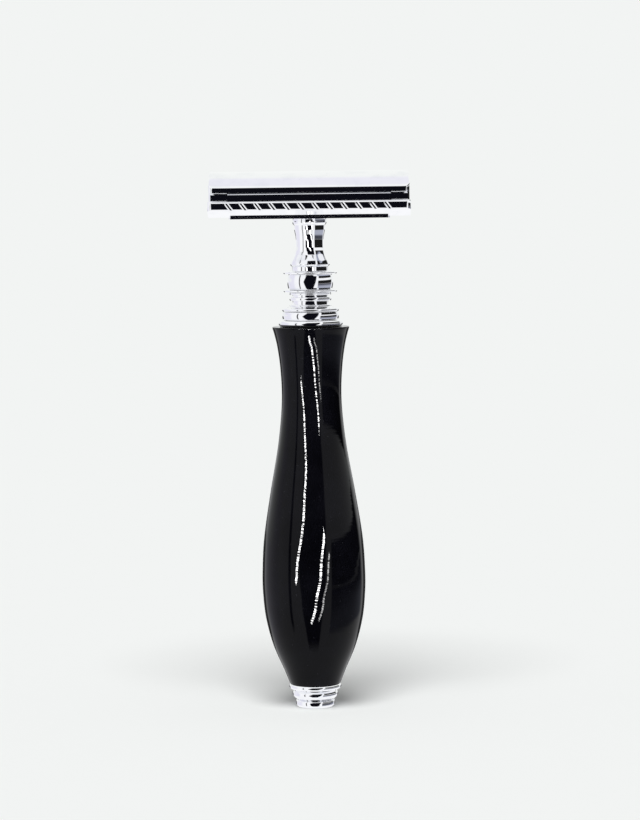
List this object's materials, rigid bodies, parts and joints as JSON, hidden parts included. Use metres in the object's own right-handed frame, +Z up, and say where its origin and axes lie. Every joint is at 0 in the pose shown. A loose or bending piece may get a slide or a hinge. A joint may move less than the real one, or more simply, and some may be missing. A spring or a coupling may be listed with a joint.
{
  "type": "safety razor",
  "caption": "Three-piece double-edge safety razor with a bowed cap, slant-grooved guard, turned chrome neck and a waisted black resin grip on a small stepped foot.",
  "frame": {"origin": "centre of the flat foot, on the surface that the razor stands on", "axes": "+Z up the handle to the cap, X along the head's length and the blade's edges, Y from front to back across the two edges"},
  "size_m": [0.0464, 0.0252, 0.125],
  "materials": {
    "chromed_brass": "bright chrome plate on turned brass, with fine turning marks and faint smears",
    "chromed_casting": "bright chrome plate on polished zinc casting",
    "black_resin": "hand-polished cast resin, high gloss",
    "blade_steel": "thin stainless steel strip, ground and stropped along both edges",
    "steel": "plain stainless steel",
    "brass": "drawn brass tube"
  },
  "bodies": {
    "handle": {"finial": "chromed_brass", "lock_washer": "steel", "foot_bead": "chromed_brass", "foot_flange": "chromed_brass", "grip": "black_resin", "core_tube": "brass", "tie_rod": "steel", "seat_flange": "chromed_brass", "ferrule": "chromed_brass", "flange_ring": "chromed_brass", "ribbed_sleeve": "chromed_brass", "lower_disc": "chromed_brass", "barrel_collar": "chromed_brass", "upper_disc": "chromed_brass", "neck": "chromed_brass"},
    "guard": {"base_plate": "chromed_casting"},
    "blade": {"blade": "blade_steel"},
    "cap": {"cap": "chromed_casting", "cap_stud": "steel", "cap_pin_left": "steel", "cap_pin_right": "steel"}
  },
  "joints": [
    {"name": "head_turn", "type": "hinge", "parent": "handle", "child": "guard", "pos_m": [0, 0, 0.11415], "axis": [0, 0, 1], "range_deg": [0, 3600]},
    {"name": "blade_lift", "type": "slide", "parent": "guard", "child": "blade", "axis": [0, 0, 1], "range_m": [0, 0.00401]},
    {"name": "cap_rise", "type": "slide", "parent": "guard", "child": "cap", "axis": [0, 0, 1], "range_m": [0, 0.00801]}
  ],
  "couplings": [
    {"joint": "cap_rise", "follows": "head_turn", "m_per_rad": 0.00012732},
    {"joint": "blade_lift", "follows": "head_turn", "m_per_rad": 0.000063662}
  ]
}
